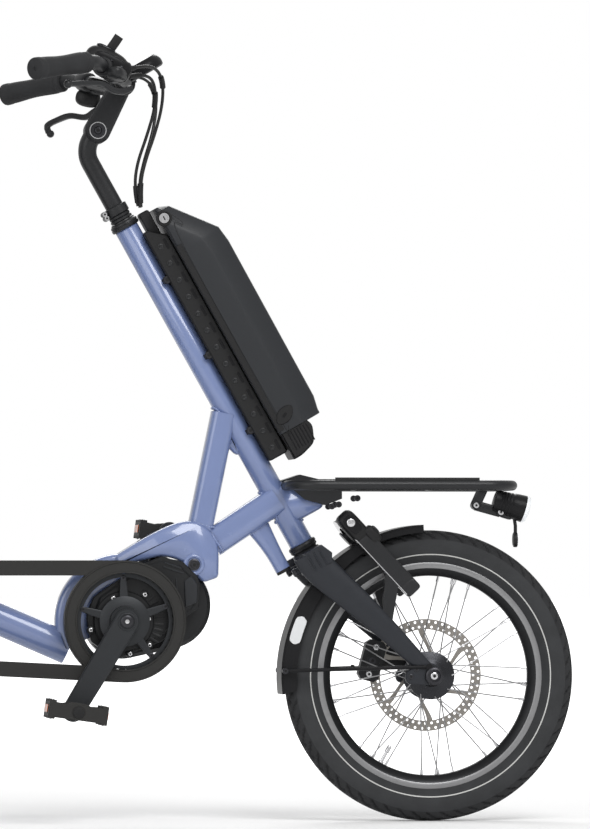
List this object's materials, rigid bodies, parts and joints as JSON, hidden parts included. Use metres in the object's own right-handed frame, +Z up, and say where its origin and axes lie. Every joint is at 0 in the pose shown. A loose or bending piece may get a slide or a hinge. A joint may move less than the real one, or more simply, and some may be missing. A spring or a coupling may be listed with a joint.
{
  "type": "recumbent trike",
  "caption": "Semi-recumbent electric delta trike: steered front wheel, twin rear wheels, low frame with mid motor, seat with backrest and carriers front and rear",
  "frame": {"origin": "on the ground below the middle of the whole length, on the mid-plane", "axes": "+X forward, +Y left, +Z up"},
  "size_m": [1.8776, 0.758, 1.2321],
  "materials": {
    "frame_paint": "glossy lavender-blue paint",
    "black_metal": "satin black powder coat",
    "black_plastic": "fine-grained black plastic",
    "motor_casing": "matt black die-cast casing",
    "battery_case": "satin black case",
    "steel": "bright steel",
    "rubber_black": "soft black rubber",
    "mudguard_plastic": "semi-gloss black",
    "lamp_red": "clear red lens",
    "cable_black": "black cable housing",
    "tyre": "dark grey rubber",
    "wheel_black": "black anodised rim and hub, bright spokes",
    "disc_steel": "ground steel",
    "crank_black": "black anodised",
    "pedal_black": "black resin",
    "seat_fabric": "dark woven cover"
  },
  "bodies": {
    "frame": {"frame_front": "frame_paint", "frame_rear": "frame_paint", "frame_stub_plug": "black_plastic", "headset_lower": "black_metal", "headset_upper": "black_metal", "motor_unit": "motor_casing", "battery": "battery_case", "battery_dock": "black_plastic", "battery_lock": "steel", "charge_port_cover": "rubber_black", "chain_guard": "black_plastic", "gear_hub": "black_metal", "rear_chain_case": "black_plastic", "differential": "black_metal", "axle_housing_left": "frame_paint", "axle_housing_right": "frame_paint", "rear_mudguard_left": "mudguard_plastic", "rear_mudguard_right": "mudguard_plastic", "rear_carrier": "black_metal", "tail_lamp": "lamp_red", "front_rack": "black_metal", "rack_gusset": "black_metal", "headlamp": "black_plastic", "lamp_bracket": "black_metal", "front_reflector": "black_plastic"},
    "steering": {"fork": "frame_paint", "front_axle": "steel", "front_mudguard": "mudguard_plastic", "front_caliper": "black_metal", "ring_lock": "black_metal", "riser_post": "black_metal", "stem": "black_metal", "handlebar": "black_metal", "grip_left": "rubber_black", "grip_right": "rubber_black", "brake_lever_left": "black_metal", "brake_lever_right": "black_metal", "display": "black_plastic", "gear_lever": "black_plastic", "cable_left": "cable_black", "cable_right": "cable_black"},
    "front_wheel_assembly": {"front_tyre": "tyre", "front_wheel": "wheel_black", "front_disc": "disc_steel"},
    "rear_left_wheel_assembly": {"rear_tyre_left": "tyre", "rear_wheel_left": "wheel_black"},
    "rear_right_wheel_assembly": {"rear_tyre_right": "tyre", "rear_wheel_right": "wheel_black"},
    "crankset": {"crank_right": "crank_black", "crank_left": "crank_black", "chainring": "crank_black"},
    "pedal_right_body": {"pedal_right": "pedal_black"},
    "pedal_left_body": {"pedal_left": "pedal_black"},
    "seat": {"seat_frame": "black_metal", "seat_cushion": "seat_fabric", "backrest_pad": "seat_fabric"}
  },
  "joints": [
    {"name": "steering_turn", "type": "hinge", "parent": "frame", "child": "steering", "pos_m": [0.50052, 0, 0.44401], "axis": [-0.4879, 0, 0.8729], "range_deg": [-35, 35]},
    {"name": "front_wheel_spin", "type": "hinge", "parent": "steering", "child": "front_wheel_assembly", "pos_m": [0.70625, 0, 0.2325], "axis": [0, 1, 0], "continuous": true},
    {"name": "rear_left_wheel_spin", "type": "hinge", "parent": "frame", "child": "rear_left_wheel_assembly", "pos_m": [-0.59375, 0.345, 0.258], "axis": [0, 1, 0], "continuous": true},
    {"name": "rear_right_wheel_spin", "type": "hinge", "parent": "frame", "child": "rear_right_wheel_assembly", "pos_m": [-0.59375, -0.345, 0.258], "axis": [0, 1, 0], "continuous": true},
    {"name": "crank_spin", "type": "hinge", "parent": "frame", "child": "crankset", "pos_m": [0.21225, 0, 0.32], "axis": [0, 1, 0], "continuous": true},
    {"name": "pedal_right_spin", "type": "hinge", "parent": "crankset", "child": "pedal_right_body", "pos_m": [0.12702, 0, 0.17872], "axis": [0, 1, 0], "continuous": true},
    {"name": "pedal_left_spin", "type": "hinge", "parent": "crankset", "child": "pedal_left_body", "pos_m": [0.29748, 0, 0.46128], "axis": [0, 1, 0], "continuous": true},
    {"name": "seat_slide", "type": "slide", "parent": "frame", "child": "seat", "axis": [1, 0, 0], "range_m": [-0.04, 0.04]}
  ]
}
